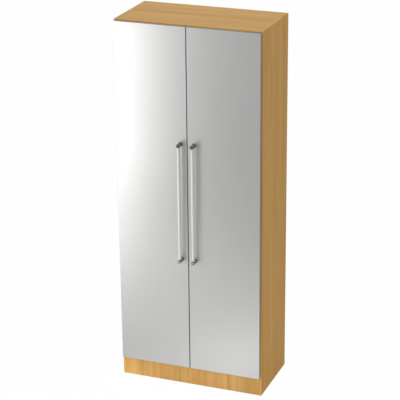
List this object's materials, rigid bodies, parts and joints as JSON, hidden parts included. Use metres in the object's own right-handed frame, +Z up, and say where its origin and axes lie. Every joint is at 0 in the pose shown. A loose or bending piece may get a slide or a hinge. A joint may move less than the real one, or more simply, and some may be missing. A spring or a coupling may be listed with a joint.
{
  "type": "two-door storage cabinet",
  "caption": "Tall storage cabinet with beech-look body and plinth, silver hinged doors on concealed hinges, long bar handles and adjustable shelves.",
  "frame": {"origin": "on the floor, at the middle of the width and of the overall depth over body and handles", "axes": "+Z up, doors face -Y, +X to the right when facing the doors"},
  "size_m": [0.8, 0.4596, 2.004],
  "materials": {
    "beech_board": "beech decor melamine, satin",
    "beech_back": "thin beech decor board, matt",
    "beech_edge": "beech decor plastic edge band, satin",
    "dowel_wood": "bare fluted beech",
    "silver_laminate": "chipboard faced with silver laminate, fine vertical brush, satin",
    "silver_edge": "silver plastic edge band, satin",
    "satin_aluminium": "satin anodised",
    "dark_chrome": "dark polished plating",
    "buffer_plastic": "soft translucent plastic",
    "zinc": "die-cast zinc alloy, bright",
    "zinc_screw": "zinc plated",
    "steel_pin": "bright steel",
    "nickel_steel": "nickel plated pressed steel"
  },
  "bodies": {
    "carcass": {"left_side_panel": "beech_board", "right_side_panel": "beech_board", "top_panel": "beech_board", "bottom_panel": "beech_board", "back_panel": "beech_back", "plinth_front_board": "beech_board", "plinth_rear_board": "beech_board", "fixed_shelf": "beech_board", "adjustable_shelf_1": "beech_board", "adjustable_shelf_2": "beech_board", "adjustable_shelf_3": "beech_board", "side_front_bands": "beech_edge", "board_front_bands": "beech_edge", "shelf_front_bands": "beech_edge", "shelf_pins": "steel_pin", "cam_housings": "zinc", "cam_bolts": "zinc_screw", "dowels": "dowel_wood", "left_mounting_plates": "nickel_steel", "right_mounting_plates": "nickel_steel", "left_plate_screws": "zinc_screw", "right_plate_screws": "zinc_screw", "left_hinge_arms": "nickel_steel", "right_hinge_arms": "nickel_steel", "left_arm_screws": "zinc_screw", "right_arm_screws": "zinc_screw", "left_arm_pins": "steel_pin", "right_arm_pins": "steel_pin"},
    "left_door": {"left_door_panel": "silver_laminate", "left_door_edge_bands": "silver_edge", "left_handle_bar": "satin_aluminium", "left_handle_posts": "dark_chrome", "left_handle_screws": "zinc_screw", "left_door_buffers": "buffer_plastic", "left_hinge_cups": "nickel_steel", "left_cup_pins": "steel_pin", "left_cup_screws": "zinc_screw"},
    "right_door": {"right_door_panel": "silver_laminate", "right_door_edge_bands": "silver_edge", "right_handle_bar": "satin_aluminium", "right_handle_posts": "dark_chrome", "right_handle_screws": "zinc_screw", "right_door_buffers": "buffer_plastic", "right_hinge_cups": "nickel_steel", "right_cup_pins": "steel_pin", "right_cup_screws": "zinc_screw"},
    "left_cranks": {"left_hinge_cranks": "nickel_steel", "left_knee_pins": "steel_pin"},
    "right_cranks": {"right_hinge_cranks": "nickel_steel", "right_knee_pins": "steel_pin"},
    "left_couplers": {"left_hinge_couplers": "nickel_steel"},
    "right_couplers": {"right_hinge_couplers": "nickel_steel"}
  },
  "joints": [
    {"name": "right_door_swing", "type": "hinge", "parent": "carcass", "child": "right_door", "pos_m": [0.395, -0.19125, 1], "axis": [0, 0, 1], "range_deg": [0, 105]},
    {"name": "right_crank_turn", "type": "hinge", "parent": "carcass", "child": "right_cranks", "pos_m": [0.372, -0.16575, 1], "axis": [0, 0, 1], "range_deg": [0, 105]},
    {"name": "right_coupler_turn", "type": "hinge", "parent": "right_cranks", "child": "right_couplers", "pos_m": [0.346, -0.15175, 1], "axis": [0, 0, 1], "range_deg": [-105, 0]},
    {"name": "left_door_swing", "type": "hinge", "parent": "carcass", "child": "left_door", "pos_m": [-0.395, -0.19125, 1], "axis": [0, 0, -1], "range_deg": [0, 105]},
    {"name": "left_crank_turn", "type": "hinge", "parent": "carcass", "child": "left_cranks", "pos_m": [-0.372, -0.16575, 1], "axis": [0, 0, -1], "range_deg": [0, 105]},
    {"name": "left_coupler_turn", "type": "hinge", "parent": "left_cranks", "child": "left_couplers", "pos_m": [-0.346, -0.15175, 1], "axis": [0, 0, -1], "range_deg": [-105, 0]}
  ],
  "couplings": [
    {"joint": "right_crank_turn", "follows": "right_door_swing", "ratio": 1},
    {"joint": "right_coupler_turn", "follows": "right_door_swing", "ratio": -1},
    {"joint": "left_crank_turn", "follows": "left_door_swing", "ratio": 1},
    {"joint": "left_coupler_turn", "follows": "left_door_swing", "ratio": -1}
  ]
}
